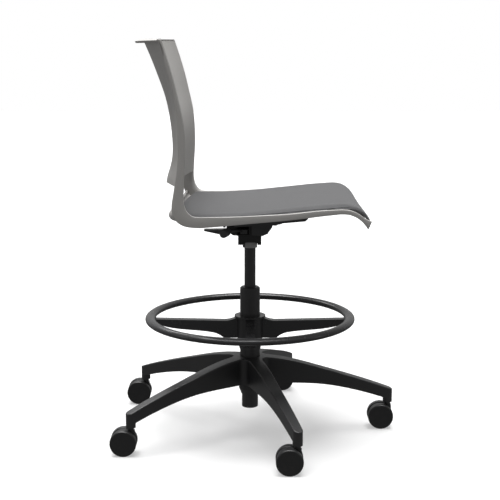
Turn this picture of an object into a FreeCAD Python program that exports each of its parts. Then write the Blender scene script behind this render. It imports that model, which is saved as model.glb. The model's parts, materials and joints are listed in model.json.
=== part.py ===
"""Drafting chair: moulded seat and back on a gas lift, with a foot ring and a five-star caster base.

Frame: +Z up, origin on the floor under the column, the sitter faces -Y, millimetres.
Each sub-part is written to parts/NODE.step.
"""
import FreeCAD, Part
import math
import os

V = FreeCAD.Vector

# ---------------------------------------------------------------- driving dimensions
# five-star base
leg_count = 5
caster_circle_r = 350.0
leg_end_half_width = 11.75
leg_root_half_width = 17.5
leg_root_r = 60.0
leg_web_fillet_r = 17.0
leg_edge_r = 2.5
base_hub_r = 28.0
base_hub_top = 188.0
base_hub_bottom = 90.0
socket_bottom = 67.0
socket_bore_r = 5.6
socket_bore_top = 98.0
# casters
wheel_r = 31.75
wheel_width = 17.5
hood_half_width = 5.0
wheel_gap = 0.8
caster_trail = 18.0
axle_r = 4.0
stem_r = 5.5
running_gap = 0.05
# column
tube_r = 25.0
tube_inner_r = 22.5
tube_top = 364.5
tube_bottom = 55.0
tube_tail_r = 20.5
sleeve_bottom = 250.0
cylinder_r = 14.0
cylinder_bore_r = 11.0
cylinder_bottom = 92.0
cylinder_top = 503.0
taper_bottom = 463.0
rod_r = 5.0
rod_top = 425.0
# foot ring
ring_r = 250.0
ring_half_width = 12.7
ring_half_height = 8.7
ring_z = 286.7
spoke_half_width = 11.0
spoke_top = 280.0
ring_hub_r = 34.0
ring_flange_r = 39.0
ring_hub_top = 293.0
ring_hub_bottom = 236.0
collar_r = 29.7
collar_bottom = 206.0
# tilt mechanism
pivot_y = -38.0
pivot_z = 516.0
pivot_pin_r = 5.0
housing_half_width = 30.0
cheek_half_width = 37.0
skirt_inner = 34.0
skirt_outer = 37.0
socket_half = 28.0
socket_block_bottom = 476.0
sleeve_recess = 6.0
plate_half_width = 70.0
plate_sheet = 3.0
plate_rear = 65.0
plate_front = -141.0
lock_y = 25.0
lock_z = 505.5
lever_rod_r = 4.0
rod_root = V(-31, 20.0, 512.0)
rod_bend = V(-72, 49.0, 519.0)
grip_end = V(-130, 63.4, 520.1)
# seat and back
frame_half_width = 248.0
rail_thickness = 14.0
shell_thickness = 5.0
board_thickness = 6.0
flange_height = 6.0
stack_gap = 0.5
back_thickness = 3.0
back_hollow = 24.0
back_hollow_growth = 0.124
back_waist_z = 750.0
pad_half_width = 231.0
dip_start = 145.0
dip_flat = 75.0

rail_inner = frame_half_width - rail_thickness


# ---------------------------------------------------------------- helpers
def fresh_shape(shape):
    """Merge coplanar pieces left by boolean operations."""
    return shape.removeSplitter()


def cylinder(radius, z_low, z_high, x=0.0, y=0.0):
    return Part.makeCylinder(radius, z_high - z_low, V(x, y, z_low))


def cross_cylinder(radius, x_low, x_high, y, z):
    """A cylinder along X."""
    return Part.makeCylinder(radius, x_high - x_low, V(x_low, y, z), V(1, 0, 0))


def box(x_low, x_high, y_low, y_high, z_low, z_high):
    return Part.makeBox(x_high - x_low, y_high - y_low, z_high - z_low, V(x_low, y_low, z_low))


def cone(r_low, r_high, z_low, z_high):
    return Part.makeCone(r_low, r_high, z_high - z_low, V(0, 0, z_low))


def smooth(points):
    """One spline edge through the points."""
    curve = Part.BSplineCurve()
    curve.interpolate(points)
    return curve.toShape()


def straight(a, b):
    return Part.LineSegment(a, b).toShape()


def arc(a, mid, b):
    return Part.Arc(a, mid, b).toShape()


def solid_of_revolution(points):
    """Revolve a closed (r, z) outline about the column axis."""
    outline = [V(r, 0, z) for r, z in points]
    face = Part.Face(Part.makePolygon(outline + outline[:1]))
    return face.revolve(V(0, 0, 0), V(0, 0, 1), 360)


def extrude_profile(edges, x_low, x_high):
    """Extrude a closed outline drawn in the YZ plane from x_low to x_high."""
    face = Part.Face(Part.Wire(edges))
    solid = face.extrude(V(x_high - x_low, 0, 0))
    solid.translate(V(x_low, 0, 0))
    return solid


def polygon_profile(points, x_low, x_high):
    outline = [V(0, y, z) for y, z in points]
    return extrude_profile(Part.makePolygon(outline + outline[:1]).Edges, x_low, x_high)


def offset_line(points, distance):
    """Shift an open (y, z) line sideways, to the left of its direction."""
    shifted = []
    last = len(points) - 1
    for i, (y, z) in enumerate(points):
        before = points[max(i - 1, 0)]
        after = points[min(i + 1, last)]
        dy = after[0] - before[0]
        dz = after[1] - before[1]
        length = math.hypot(dy, dz)
        shifted.append((y - dz / length * distance, z + dy / length * distance))
    return shifted


def skin(sections, ruled=False):
    """A closed solid through strips: each section is (x, outer line, inner line) in (y, z)."""
    wires = []
    for x, outer, inner in sections:
        a = [V(x, y, z) for y, z in outer]
        b = [V(x, y, z) for y, z in inner]
        edges = [smooth(a), straight(a[-1], b[-1]), smooth(b[::-1]), straight(b[0], a[0])]
        wires.append(Part.Wire(edges))
    return Part.makeLoft(wires, True, ruled)


def mirrored(shape):
    return shape.mirror(V(0, 0, 0), V(1, 0, 0))


def interpolate(table, z):
    """Piecewise linear value from a short (z, value) list in rising z."""
    for (z0, v0), (z1, v1) in zip(table, table[1:]):
        if z <= z1:
            return v0 + (v1 - v0) * (z - z0) / (z1 - z0)
    return table[-1][1]


def screw(position, direction, length, shank_r, head_r, head_h):
    """A pan-head screw whose head sits on the given point and whose shank runs along direction."""
    shank = Part.makeCylinder(shank_r, length, position, direction)
    head = Part.makeCylinder(head_r, head_h, position, direction * -1)
    socket = Part.makeCylinder(head_r * 0.45, head_h * 0.6, position - direction * head_h, direction)
    return shank.fuse(head).cut(socket)


# ---------------------------------------------------------------- five-star base
def leg_angles():
    return [-90.0 + 360.0 / leg_count * k for k in range(leg_count)]


def star_outline():
    """Plan outline of the legs: tapered sides, round ends, a fillet in each corner between legs."""
    half_step = math.radians(180.0 / leg_count)
    rise = leg_root_half_width - leg_end_half_width
    taper = math.atan2(rise, caster_circle_r - leg_root_r)
    reach = leg_root_half_width + leg_root_r * math.tan(taper)
    centre_r = (reach + leg_web_fillet_r / math.cos(taper))
    centre_r /= math.sin(half_step) + math.cos(half_step) * math.tan(taper)
    edges = []
    for angle in leg_angles():
        turn = math.radians(angle)

        def place(r, side):
            along, across = math.cos(turn), math.sin(turn)
            return V(r * along - side * across, r * across + side * along, 0)

        centre = (centre_r * math.cos(half_step), centre_r * math.sin(half_step))
        tangent = (centre[0] - leg_web_fillet_r * math.sin(taper),
                   centre[1] - leg_web_fillet_r * math.cos(taper))
        web_r = centre_r - leg_web_fillet_r
        web = place(web_r * math.cos(half_step), web_r * math.sin(half_step))
        end = caster_circle_r + leg_end_half_width * math.sin(taper)
        end_side = leg_end_half_width * math.cos(taper)
        tip = place(caster_circle_r + leg_end_half_width, 0)
        edges.append(straight(place(tangent[0], -tangent[1]), place(end, -end_side)))
        edges.append(arc(place(end, -end_side), tip, place(end, end_side)))
        edges.append(straight(place(end, end_side), place(tangent[0], tangent[1])))
        step = 2 * half_step
        next_tangent = (tangent[0] * math.cos(step) + tangent[1] * math.sin(step),
                        tangent[0] * math.sin(step) - tangent[1] * math.cos(step))
        edges.append(arc(place(*tangent), web, place(*next_tangent)))
    return Part.Wire(Part.__sortEdges__(edges))


leg_top_line = [(30, 188), (70, 184), (125, 173), (180, 158), (262, 134.5), (370, 98)]
leg_under_line = [(370, 70), (300, 92.5), (240, 107.5), (180, 117), (118, 120), (30, 120)]


def dome(under_line, drop=0.0):
    """Revolved body from the legs' top curve, lowered by drop, down to the given underside curve."""
    top = [V(r, 0, z - drop) for r, z in leg_top_line]
    under = [V(r, 0, z) for r, z in under_line]
    axis_top = V(0, 0, top[0].z)
    axis_under = V(0, 0, under[-1].z)
    edges = [straight(axis_top, top[0]), smooth(top), straight(top[-1], under[0])]
    edges += [smooth(under), straight(under[-1], axis_under), straight(axis_under, axis_top)]
    return Part.Face(Part.Wire(edges)).revolve(V(0, 0, 0), V(0, 0, 1), 360)


def leg_recess():
    """Hollow under one leg: an open-bottomed channel with cross ribs, along +X."""
    wall = 4.5
    outline = [(75, 13.5), (320, 8.0), (320, -8.0), (75, -13.5)]
    points = [V(r, side, 60) for r, side in outline]
    channel = Part.Face(Part.makePolygon(points + points[:1])).extrude(V(0, 0, 140))
    channel = channel.common(dome([(370, 50), (200, 50), (30, 50)], wall))
    for rib_r in (125, 175, 225, 275):
        channel = channel.cut(box(rib_r - 1.5, rib_r + 1.5, -20, 20, 40, 200))
    return channel


def five_star_base():
    outline = star_outline()
    star = Part.Face(outline).extrude(V(0, 0, 140))
    star.translate(V(0, 0, 60))
    legs = fresh_shape(star.common(dome(leg_under_line)))
    rim = [e for e in legs.Edges if is_top_rim(e)]
    legs = legs.makeFillet(leg_edge_r, rim)
    for angle in leg_angles():
        recess = leg_recess()
        recess.rotate(V(0, 0, 0), V(0, 0, 1), angle)
        legs = legs.cut(recess)
    hub = cylinder(base_hub_r, 104, base_hub_top)
    hub = hub.fuse(cone(22.5, base_hub_r, base_hub_bottom, 104))
    body = legs.fuse(hub)
    for angle in leg_angles():
        x = caster_circle_r * math.cos(math.radians(angle))
        y = caster_circle_r * math.sin(math.radians(angle))
        body = body.fuse(cylinder(leg_end_half_width, socket_bottom, 96, x, y))
        body = body.cut(cylinder(socket_bore_r, socket_bottom - 1, socket_bore_top, x, y))
    bore = cone(tube_tail_r + running_gap, tube_r + running_gap, base_hub_bottom, base_hub_top)
    body = body.cut(bore)
    body = body.cut(cylinder(tube_tail_r + running_gap, base_hub_bottom - 5, base_hub_bottom + 1))
    return fresh_shape(body)


def is_top_rim(edge):
    """Edges where the legs' top surface meets their upright sides."""
    middle = edge.valueAt((edge.FirstParameter + edge.LastParameter) / 2)
    upright = abs(edge.Vertexes[0].Z - edge.Vertexes[-1].Z) > 0.9 * edge.Length
    r = math.hypot(middle.x, middle.y)
    top_z = interpolate(leg_top_line, r)
    return r > 32 and not upright and abs(middle.z - top_z) < 4


# ---------------------------------------------------------------- casters
def caster_wheel(side):
    """One wheel about the X axis through its own centre: crowned tread, closed outer face, blind bore."""
    inner = hood_half_width + wheel_gap
    outer = inner + wheel_width
    bore = axle_r + running_gap
    outline = [(bore, inner), (wheel_r - 1.4, inner), (wheel_r - 0.4, inner + 0.9), (wheel_r, inner + 2.4)]
    outline += [(wheel_r, outer - 3.6), (wheel_r - 0.5, outer - 1.7), (wheel_r - 1.5, outer - 0.5)]
    outline += [(wheel_r - 2.8, outer), (0, outer), (0, outer - 3.0), (bore, outer - 3.0)]
    points = [V(side * x, r, 0) for r, x in outline]
    face = Part.Face(Part.makePolygon(points + points[:1]))
    return face.revolve(V(0, 0, 0), V(1, 0, 0), 360)


def caster_hood():
    """Centre body between the wheels, with the stem boss in front of them."""
    web = cross_cylinder(wheel_r - 1.75, -hood_half_width, hood_half_width, 0, 0)
    floor_cut = box(-10, 10, -40, 40, -40, -12)
    boss = cylinder(9.5, 3.0, 28.5, 0, -caster_trail)
    boss_bridge = box(-hood_half_width, hood_half_width, -caster_trail - 9.5, 0, 3.0, 24.0)
    body = web.cut(floor_cut).fuse(boss_bridge)
    crown = boss.cut(cross_cylinder(wheel_r + 1.0, -20, -hood_half_width, 0, 0))
    crown = crown.cut(cross_cylinder(wheel_r + 1.0, hood_half_width, 20, 0, 0))
    body = body.fuse(crown)
    body = body.cut(cross_cylinder(axle_r + running_gap, -20, 20, 0, 0))
    body = body.cut(cylinder(stem_r, 4.0, 40, 0, -caster_trail))
    return fresh_shape(body)


def caster_stem():
    """Blackened swivel stem: seated in the hood, a collar, and the pin that turns in the leg's socket."""
    stem = cylinder(stem_r, 4.0, socket_bore_top - 4 - wheel_r, 0, -caster_trail)
    collar = cylinder(7.5, 28.5, 34.0, 0, -caster_trail)
    return stem.fuse(collar)


def caster_axle():
    end = hood_half_width + wheel_gap + wheel_width - 3.5
    return cross_cylinder(axle_r, -end, end, 0, 0)


def casters():
    pieces = {}
    for k, angle in enumerate(leg_angles(), start=1):
        x = caster_circle_r * math.cos(math.radians(angle))
        y = caster_circle_r * math.sin(math.radians(angle)) + caster_trail
        group = {"caster_hood": caster_hood(), "caster_stem": caster_stem(), "caster_axle": caster_axle(),
                 "caster_wheel_left": caster_wheel(1), "caster_wheel_right": caster_wheel(-1)}
        for name, shape in group.items():
            shape.translate(V(x, y, wheel_r))
            pieces["%s_%d" % (name, k)] = shape
    return pieces


# ---------------------------------------------------------------- column and gas lift
def column_outer_tube():
    """Steel stand tube: straight above the hub, tapered inside it, with a straight tail below."""
    outline = [(tube_inner_r, tube_top), (tube_r - 1.8, tube_top), (tube_r - 0.6, tube_top - 0.7)]
    outline += [(tube_r, tube_top - 2.5), (tube_r, base_hub_top), (tube_tail_r, base_hub_bottom)]
    outline += [(tube_tail_r, tube_bottom + 1), (tube_tail_r - 1, tube_bottom)]
    outline += [(tube_tail_r - 2.0, tube_bottom), (tube_tail_r - 2.0, base_hub_bottom)]
    outline += [(tube_inner_r, base_hub_top)]
    return solid_of_revolution(outline)


def column_guide_sleeve():
    """Plastic guide that the gas cylinder slides in, with a lip over the tube's top."""
    sleeve = cylinder(tube_inner_r, sleeve_bottom, tube_top)
    lip = cylinder(tube_r - 3.5, tube_top, tube_top + 1.6)
    return sleeve.fuse(lip).cut(cylinder(cylinder_r + running_gap, sleeve_bottom - 1, tube_top + 5))


def column_base_disc():
    disc = cylinder(tube_tail_r - 2.0, tube_bottom + 1, tube_bottom + 5)
    return disc.cut(cylinder(rod_r + running_gap, tube_bottom, tube_bottom + 10))


def thrust_bearing():
    low = cylinder(12.0, tube_bottom + 5, tube_bottom + 11)
    return low.cut(cylinder(rod_r + running_gap, tube_bottom, tube_bottom + 20))


def piston_rod():
    """Rod held by the base disc, with the gas piston on its upper end."""
    rod = cylinder(rod_r, tube_bottom - 1, rod_top)
    shoulder = cylinder(9.0, tube_bottom + 11.2, tube_bottom + 15)
    piston = cylinder(cylinder_bore_r - running_gap, rod_top, rod_top + 14)
    return rod.fuse(shoulder).fuse(piston)


def rod_clip():
    """Spring clip in the rod's groove below the base disc."""
    clip = cylinder(8.5, tube_bottom - 0.4, tube_bottom + 0.8)
    return clip.cut(cylinder(rod_r, tube_bottom - 5, tube_bottom + 5))


def rod_buffer():
    """Rubber bump stop that cushions the bottom of the travel."""
    buffer_ring = cylinder(10.0, tube_bottom + 15.2, cylinder_bottom - 4)
    return buffer_ring.cut(cylinder(rod_r, tube_bottom, cylinder_bottom))


def gas_cylinder():
    """Pressure tube that rises with the seat; its upper end is the mounting taper."""
    body = cylinder(cylinder_r, cylinder_bottom, taper_bottom)
    taper = cone(cylinder_r, cylinder_r - 1.0, taper_bottom, cylinder_top)
    body = body.fuse(taper)
    body = body.cut(cylinder(cylinder_bore_r, cylinder_bottom + 12, rod_top + 20))
    body = body.cut(cylinder(rod_r + running_gap, cylinder_bottom - 1, cylinder_bottom + 20))
    return body.cut(cylinder(3.05, rod_top + 10, cylinder_top + 1))


def taper_sleeve():
    """Fitted cone that seats the cylinder in the mechanism's socket."""
    low = taper_bottom + 3.0
    high = socket_block_bottom + sleeve_recess
    shape = cone(18.0, 18.8, low, high)
    return shape.cut(cylinder(cylinder_r + running_gap, low - 1, high + 1))


def sleeve_band():
    """Blank grey label plate round the right-hand side of the cone."""
    low = taper_bottom + 3.3
    high = socket_block_bottom + sleeve_recess - 0.4
    band = cylinder(19.4, low, high).cut(cylinder(18.8, low - 1, high + 1))
    return band.common(box(-30, 0, -17.5, 12.2, low, high))


def gas_valve_pin():
    return cylinder(3.0, rod_top + 40, cylinder_top + 5)


# ---------------------------------------------------------------- foot ring
def oval_wire():
    """Section of the ring: an oval of four tangent arcs, wider than it is high."""
    tip_r = 6.5
    tip_offset = ring_half_width - tip_r
    drop = (tip_offset ** 2 - (ring_half_height - tip_r) ** 2) / (2 * (ring_half_height - tip_r))
    flat_r = ring_half_height + drop
    reach = math.hypot(tip_offset, drop)
    join_r = flat_r * tip_offset / reach
    join_z = flat_r * drop / reach - drop

    def at(r, z):
        return V(ring_r + r, 0, ring_z + z)

    edges = [arc(at(-join_r, join_z), at(0, ring_half_height), at(join_r, join_z))]
    edges.append(arc(at(join_r, join_z), at(ring_half_width, 0), at(join_r, -join_z)))
    edges.append(arc(at(join_r, -join_z), at(0, -ring_half_height), at(-join_r, -join_z)))
    edges.append(arc(at(-join_r, -join_z), at(-ring_half_width, 0), at(-join_r, join_z)))
    return Part.Wire(edges)


def footring():
    """Oval-section ring, four deep spokes and a hub, moulded as one piece."""
    ring = Part.Face(oval_wire()).revolve(V(0, 0, 0), V(0, 0, 1), 360)
    under = [V(ring_r + 2, 0, 282), V(ring_r - 6, 0, 277), V(200, 0, 262), V(140, 0, 255.5), V(100, 0, 251)]
    root = [V(100, 0, 251), V(80, 0, 245.5), V(66, 0, 236)]
    hub_edge = ring_hub_r - 4
    edges = [smooth(under), smooth(root), straight(root[-1], V(hub_edge, 0, 236))]
    edges += [straight(V(hub_edge, 0, 236), V(hub_edge, 0, 290))]
    edges += [arc(V(hub_edge, 0, 290), V(47, 0, 282.6), V(62, 0, spoke_top))]
    edges += [straight(V(62, 0, spoke_top), V(ring_r + 2, 0, spoke_top + 4))]
    edges += [straight(V(ring_r + 2, 0, spoke_top + 4), V(ring_r + 2, 0, 282))]
    blade = Part.Face(Part.Wire(edges)).extrude(V(0, 2 * spoke_half_width, 0))
    blade.translate(V(0, -spoke_half_width, 0))
    body = ring
    hub = cylinder(ring_hub_r, ring_hub_bottom, ring_hub_top - 3)
    hub = hub.fuse(cylinder(ring_flange_r, ring_hub_top - 5, ring_hub_top))
    for k in range(4):
        spoke = blade.copy()
        spoke.rotate(V(0, 0, 0), V(0, 0, 1), 90 * k)
        body = body.fuse(spoke)
    body = body.fuse(hub)
    return fresh_shape(body.cut(cylinder(tube_r + 2.5, ring_hub_bottom - 1, ring_hub_top + 1)))


def ring_bush():
    """Split plastic bush between the hub and the column."""
    bush = cylinder(tube_r + 2.5, ring_hub_bottom, ring_hub_top)
    bush = bush.cut(cylinder(tube_r + running_gap, ring_hub_bottom - 1, ring_hub_top + 1))
    return bush.cut(box(0, 40, -1, 1, ring_hub_bottom - 1, ring_hub_top + 1))


def ring_lock_collar():
    """Fluted twist collar that clamps the foot ring at its height."""
    top = ring_hub_bottom - 0.5
    outline = [(tube_r + 0.3, top), (collar_r, top), (collar_r, 217.0), (collar_r - 1.8, 213.5)]
    outline += [(tube_r + 1.6, collar_bottom + 1), (tube_r + 1.2, collar_bottom)]
    outline += [(tube_r + 0.3, collar_bottom)]
    body = solid_of_revolution(outline)
    for k in range(10):
        angle = math.radians(36 * k)
        reach = collar_r + 3.0
        flute = cylinder(4.5, 208, 231, reach * math.cos(angle), reach * math.sin(angle))
        body = body.cut(flute)
    return body


# ---------------------------------------------------------------- mechanism
def mechanism_housing():
    """Cast body on the gas taper: socket block, rear cheeks for the levers, nose for the pivot pin."""
    block = box(-socket_half, socket_half, -socket_half, socket_half + 1.5, socket_block_bottom, 501)
    block = block.makeFillet(4.0, [e for e in block.Edges if abs(e.Vertexes[0].Z - e.Vertexes[-1].Z) > 10])
    core = [(58, 511), (41, 500), (-30, 498), (-44, 504), (-48, 514), (-45, 524), (-32, 526), (3, 531)]
    core += [(58, 522)]
    cheeks = [(58, 511), (43, 504), (28, 499.5), (4, 499.5), (4, 524), (58, 521)]
    body = block.fuse(polygon_profile(core, -housing_half_width, housing_half_width))
    body = body.fuse(polygon_profile(cheeks, -cheek_half_width, cheek_half_width))
    body = body.cut(box(-22, 22, -20, 34, cylinder_top, 540))
    recess_top = socket_block_bottom + sleeve_recess
    body = body.cut(cylinder(18.9, socket_block_bottom - 1, recess_top + 0.1))
    for side in (-1, 1):
        low, high = sorted((side * 5, side * (socket_half + 1)))
        body = body.cut(box(low, high, -18.9, 16.0, socket_block_bottom - 1, recess_top + 0.1))
    body = body.cut(cone(cylinder_r + 0.1, cylinder_r - 0.9, taper_bottom, cylinder_top + 0.2))
    reach = housing_half_width + 1
    body = body.cut(cross_cylinder(pivot_pin_r + 4, -reach, reach, pivot_y, pivot_z))
    body = body.cut(box(-60, -20, 3, 31, 502.5, 540))
    body = body.cut(cross_cylinder(4.0 + running_gap, 18, 60, lock_y, lock_z))
    return fresh_shape(body)


def torsion_bush():
    """Rubber torsion spring bonded between the pivot pin and the housing's nose."""
    bush = cross_cylinder(pivot_pin_r + 4, -housing_half_width, housing_half_width, pivot_y, pivot_z)
    return bush.cut(cross_cylinder(pivot_pin_r, -60, 60, pivot_y, pivot_z))


def tilt_pivot_pin():
    return cross_cylinder(pivot_pin_r, -skirt_outer, skirt_outer, pivot_y, pivot_z)


def plate_top(y):
    """Height of the plate's upper face, which slopes up towards the front."""
    return 550.8 - 0.082 * y


def seat_plate():
    """Pressed tray under the seat: a sheet, two side flanges, and two skirts on the pivot pin."""
    rear, front = plate_rear, plate_front
    sheet = [(rear, plate_top(rear)), (rear, plate_top(rear) - plate_sheet)]
    sheet += [(front, plate_top(front) - plate_sheet), (front, plate_top(front))]
    flange = [(rear, 525.8), (-47.5, 531.2), (-64, 530.4), (-67, 532.5), (-77, 534.4), (-78, 536)]
    flange += [(-134, 540.7), (front, 547), (front, plate_top(front)), (rear, plate_top(rear))]
    skirt = [(-4, plate_top(-4) - 1), (-4, 501.5), (-29, 499.7), (-45, 507.7), (-55, 521.7)]
    skirt += [(-56, plate_top(-56) - 1)]
    plate = polygon_profile(sheet, -plate_half_width, plate_half_width)
    for side in (-1, 1):
        low, high = sorted((side * (plate_half_width - plate_sheet), side * plate_half_width))
        plate = plate.fuse(polygon_profile(flange, low, high))
        low, high = sorted((side * skirt_inner, side * skirt_outer))
        plate = plate.fuse(polygon_profile(skirt, low, high))
    plate = plate.cut(box(-plate_half_width - 1, -plate_half_width + 5, 38, 59, 500, 541))
    plate = plate.cut(cross_cylinder(pivot_pin_r + running_gap, -60, 60, pivot_y, pivot_z))
    return fresh_shape(plate)


def height_lever_arm():
    """Flat tongue over the valve pin, then a bent round rod out to the grip."""
    tongue = box(-30, 4, 6, 16, 508.4, 511.4).fuse(box(-5, 5, -4, 16, 508.4, 511.4))
    knuckle = box(-36, -24, 6.5, 24.0, 504, 515)
    rod = Part.makeCylinder(lever_rod_r, (rod_bend - rod_root).Length, rod_root, rod_bend - rod_root)
    rod = rod.fuse(Part.makeSphere(lever_rod_r, rod_bend))
    along = grip_end - rod_bend
    rod = rod.fuse(Part.makeCylinder(lever_rod_r, along.Length * 0.7, rod_bend, along))
    return tongue.fuse(knuckle).fuse(rod)


def height_lever_grip():
    """Tapered round grip pushed over the rod's end."""
    along = grip_end - rod_bend
    base = rod_bend + along * 0.12
    along = grip_end - base
    neck = Part.makeCone(6.0, 10.3, along.Length * 0.5, base, along)
    rest = Part.makeCylinder(10.3, along.Length * 0.5 - 2.0, base + along * 0.5, along)
    dome_end = Part.makeCone(10.3, 8.6, 2.0, grip_end - along * (2.0 / along.Length), along)
    return neck.fuse(rest).fuse(dome_end).cut(height_lever_arm())


def tilt_lock_shaft():
    """Shaft with a cam flat, turning in the left cheek."""
    shaft = cross_cylinder(4.0, 19, 92, lock_y, lock_z)
    return shaft.cut(box(17, 26, lock_y - 5, lock_y + 5, lock_z + 2.3, lock_z + 5))


def tilt_lock_paddle():
    """Flat tapered paddle that drops and sweeps back from the shaft."""
    hub = cross_cylinder(8.0, 82, 112, lock_y, lock_z)
    outline = [(lock_y - 4, lock_z - 6), (lock_y + 18, 488), (80, 484.5), (118, 492.5), (118, 495)]
    outline += [(62, 496), (lock_y + 6, lock_z + 5)]
    paddle = hub.fuse(polygon_profile(outline, 84, 112))
    return fresh_shape(paddle.cut(cross_cylinder(4.0, 70, 92, lock_y, lock_z)))


# ---------------------------------------------------------------- side frames
def side_frame():
    """L-shaped moulded side: seat rail, rear corner and tapering upright, on the +X side."""
    rear = [(204, 975), (194, 955), (190.5, 929), (179, 885), (169, 841), (164.5, 797), (163, 752)]
    rear += [(163.3, 707), (168.5, 662), (177, 610)]
    corner = [(177, 610), (177.5, 590), (170, 571), (154, 558), (132, 553), (113, 552)]
    under = [(113, 552), (63, 556), (-23, 564), (-91, 570), (-159, 578.5), (-204, 583.5)]
    nose = [(-204, 583.5), (-222, 583), (-240, 577), (-254, 567), (-269, 549)]
    nose_top = [(-277, 567.5), (-263, 573.5), (-254, 580), (-240, 588.5), (-222, 594), (-204, 594.8)]
    top = [(-204, 594.8), (-158, 592), (-91, 585), (-23, 581), (45, 578), (113, 577.5)]
    crook = [(113, 577.5), (129, 579), (140, 586.5), (147, 599), (150.5, 618)]
    front = [(150.5, 618), (150, 640), (146.8, 689), (146.3, 740), (151, 797), (160.3, 841)]
    front += [(170.5, 885), (183, 929), (198, 975)]
    loop = [rear, corner, under, nose, nose_top, top, crook, front]
    edges = []
    for line in loop:
        edges.append(smooth([V(0, y, z) for y, z in line]))
    edges.insert(4, straight(V(0, *nose[-1]), V(0, *nose_top[0])))
    edges.append(straight(V(0, *front[-1]), V(0, *rear[0])))
    return extrude_profile(edges, rail_inner, frame_half_width)


# ---------------------------------------------------------------- seat shell, board and pad
shell_at_rail = [(167, 567), (166.5, 564.5), (164.5, 562), (160.5, 560), (153, 558.5), (139, 556.8),
                 (113, 555), (63, 558.5), (-35, 567), (-125, 576.5), (-175, 583), (-204, 585.5),
                 (-224, 584.8), (-242, 579.5), (-257, 570), (-270.5, 551)]
shell_at_centre = [(186, 570), (197, 564), (203.3, 553), (201, 541), (190, 532), (170, 533),
                   (120, 542.5), (70, 546), (-35, 554.5), (-125, 562), (-170, 568), (-204, 575),
                   (-224, 577), (-244, 573), (-258.5, 564.5), (-270.5, 550.5)]


def blend_factor(x):
    """1 over the flat middle of the seat, easing to 0 before the side rails."""
    t = (abs(x) - dip_flat) / (dip_start - dip_flat)
    t = min(max(t, 0.0), 1.0)
    return 0.5 + 0.5 * math.cos(math.pi * t)


def rear_bulge(x):
    """The seat's rear roll sweeps up and forward from the middle (1) to the rails (0)."""
    blunt = 24.0
    way = (math.hypot(x, blunt) - blunt) / (math.hypot(rail_inner, blunt) - blunt)
    return (1.0 - min(way, 1.0)) ** 1.3


def shell_line(x):
    """Underside line of the seat shell at one x."""
    dip = blend_factor(x)
    bulge = rear_bulge(x)
    line = []
    for i, (side, middle) in enumerate(zip(shell_at_rail, shell_at_centre)):
        share = bulge + (dip - bulge) * min(max((i - 4) / 2.0, 0.0), 1.0)
        y = side[0] + (middle[0] - side[0]) * max(share, 0.0)
        line.append((y, side[1] + (middle[1] - side[1]) * share))
    return line


def raised_line(x, rise):
    """The shell's line moved up through its thickness and a further rise."""
    return offset_line(shell_line(x), -shell_thickness - rise)


def seat_shell():
    """Moulded seat shell: dished in the middle, rolled along the rear, with a low flange at each rail."""
    sections = []
    for x in (-234, -190, -145, -132, -104, -75, 0, 75, 104, 132, 145, 190, 234):
        sections.append((x, shell_line(x), raised_line(x, 0.0)))
    shell = skin(sections, True)
    foot = raised_line(rail_inner, -1.0)[6:13]
    crest = raised_line(rail_inner, flange_height)[6:13]
    edges = [smooth([V(0, y, z) for y, z in foot]), smooth([V(0, y, z) for y, z in crest])]
    edges.append(straight(V(0, *foot[0]), V(0, *crest[0])))
    edges.append(straight(V(0, *foot[-1]), V(0, *crest[-1])))
    flange = extrude_profile(Part.__sortEdges__(edges), pad_half_width, rail_inner)
    return shell.fuse(flange).fuse(mirrored(flange))


def cushion_board():
    """Moulded board inside the pad that the shell's screws pull down on."""
    sections = []
    for x in (-132, -104, -75, 0, 75, 104, 132):
        low = raised_line(x, stack_gap)[7:11]
        high = raised_line(x, stack_gap + board_thickness)[7:11]
        sections.append((x, low, high))
    return skin(sections, True)


pad_ridge = [(110, 583.5), (46, 584.5), (-23, 587.5), (-92, 593.5), (-160, 601), (-204, 605), (-224, 605),
             (-243, 600), (-258, 590), (-270, 576), (-278, 562)]


def pad_top_line(x):
    """Crown line of the pad: rolled down at its rear edge, low at the side seams, hollow in the middle."""
    share = abs(x) / pad_half_width
    edge_drop = 9.0 * max(0.0, (share - 0.8) / 0.2) ** 2
    hollow = 4.0 * math.cos(min(share / 0.8, 1.0) * math.pi / 2)
    rear = 177.0 - 24.0 * share ** 2
    foot = 563.0 + 5.0 * share ** 2
    line = [(rear, foot), (rear - 4.0, foot + 6.0 - edge_drop * 0.25)]
    line.append((rear - 20.0, 577.0 - edge_drop * 0.4))
    for y, z in pad_ridge:
        fade = 1.0 - min(max((-226.0 - y) / 30.0, 0.0), 1.0)
        line.append((y, z - (edge_drop + hollow) * fade))
    return line


def seat_pad():
    """Foam and fabric as one plain crowned solid that lies on the shell and over the board."""
    sections = []
    for x in (-231, -215, -190, -145, -134, -132, -104, -75, 0, 75, 104, 132, 134, 145, 190, 215, 231):
        top = pad_top_line(x)
        under = raised_line(x, 3 * stack_gap)[6:]
        if abs(x) <= 132:
            under[1:5] = raised_line(x, board_thickness + 4 * stack_gap)[7:11]
        rear = (top[0][0] - 1.0, top[0][1] - 3.0)
        sections.append((x, [rear] + under, top))
    return skin(sections, True)


# ---------------------------------------------------------------- back
front_edge = [(631, 150.5), (659, 149), (700, 146.8), (745, 146.3), (797, 151), (841, 160.3), (885, 170.5),
              (929, 183), (972, 196.2)]
rear_edge = [(707, 163.3), (752, 163), (797, 164.5), (841, 169), (885, 179), (929, 190.5), (971.5, 203.5)]


def sagitta(z):
    """Depth of the back's hollow across its width, growing steadily above the waist."""
    over = z - back_waist_z
    return back_hollow + back_hollow_growth * (over + math.hypot(over, 30.0)) / 2


def plan_curve(x):
    """Back is an arc in plan: 1 at the middle, 0 at the uprights."""
    return 1.0 - (abs(x) / rail_inner) ** 2


def panel_line(x):
    return [(y + sagitta(z) * plan_curve(x), z) for z, y in front_edge]


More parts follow.
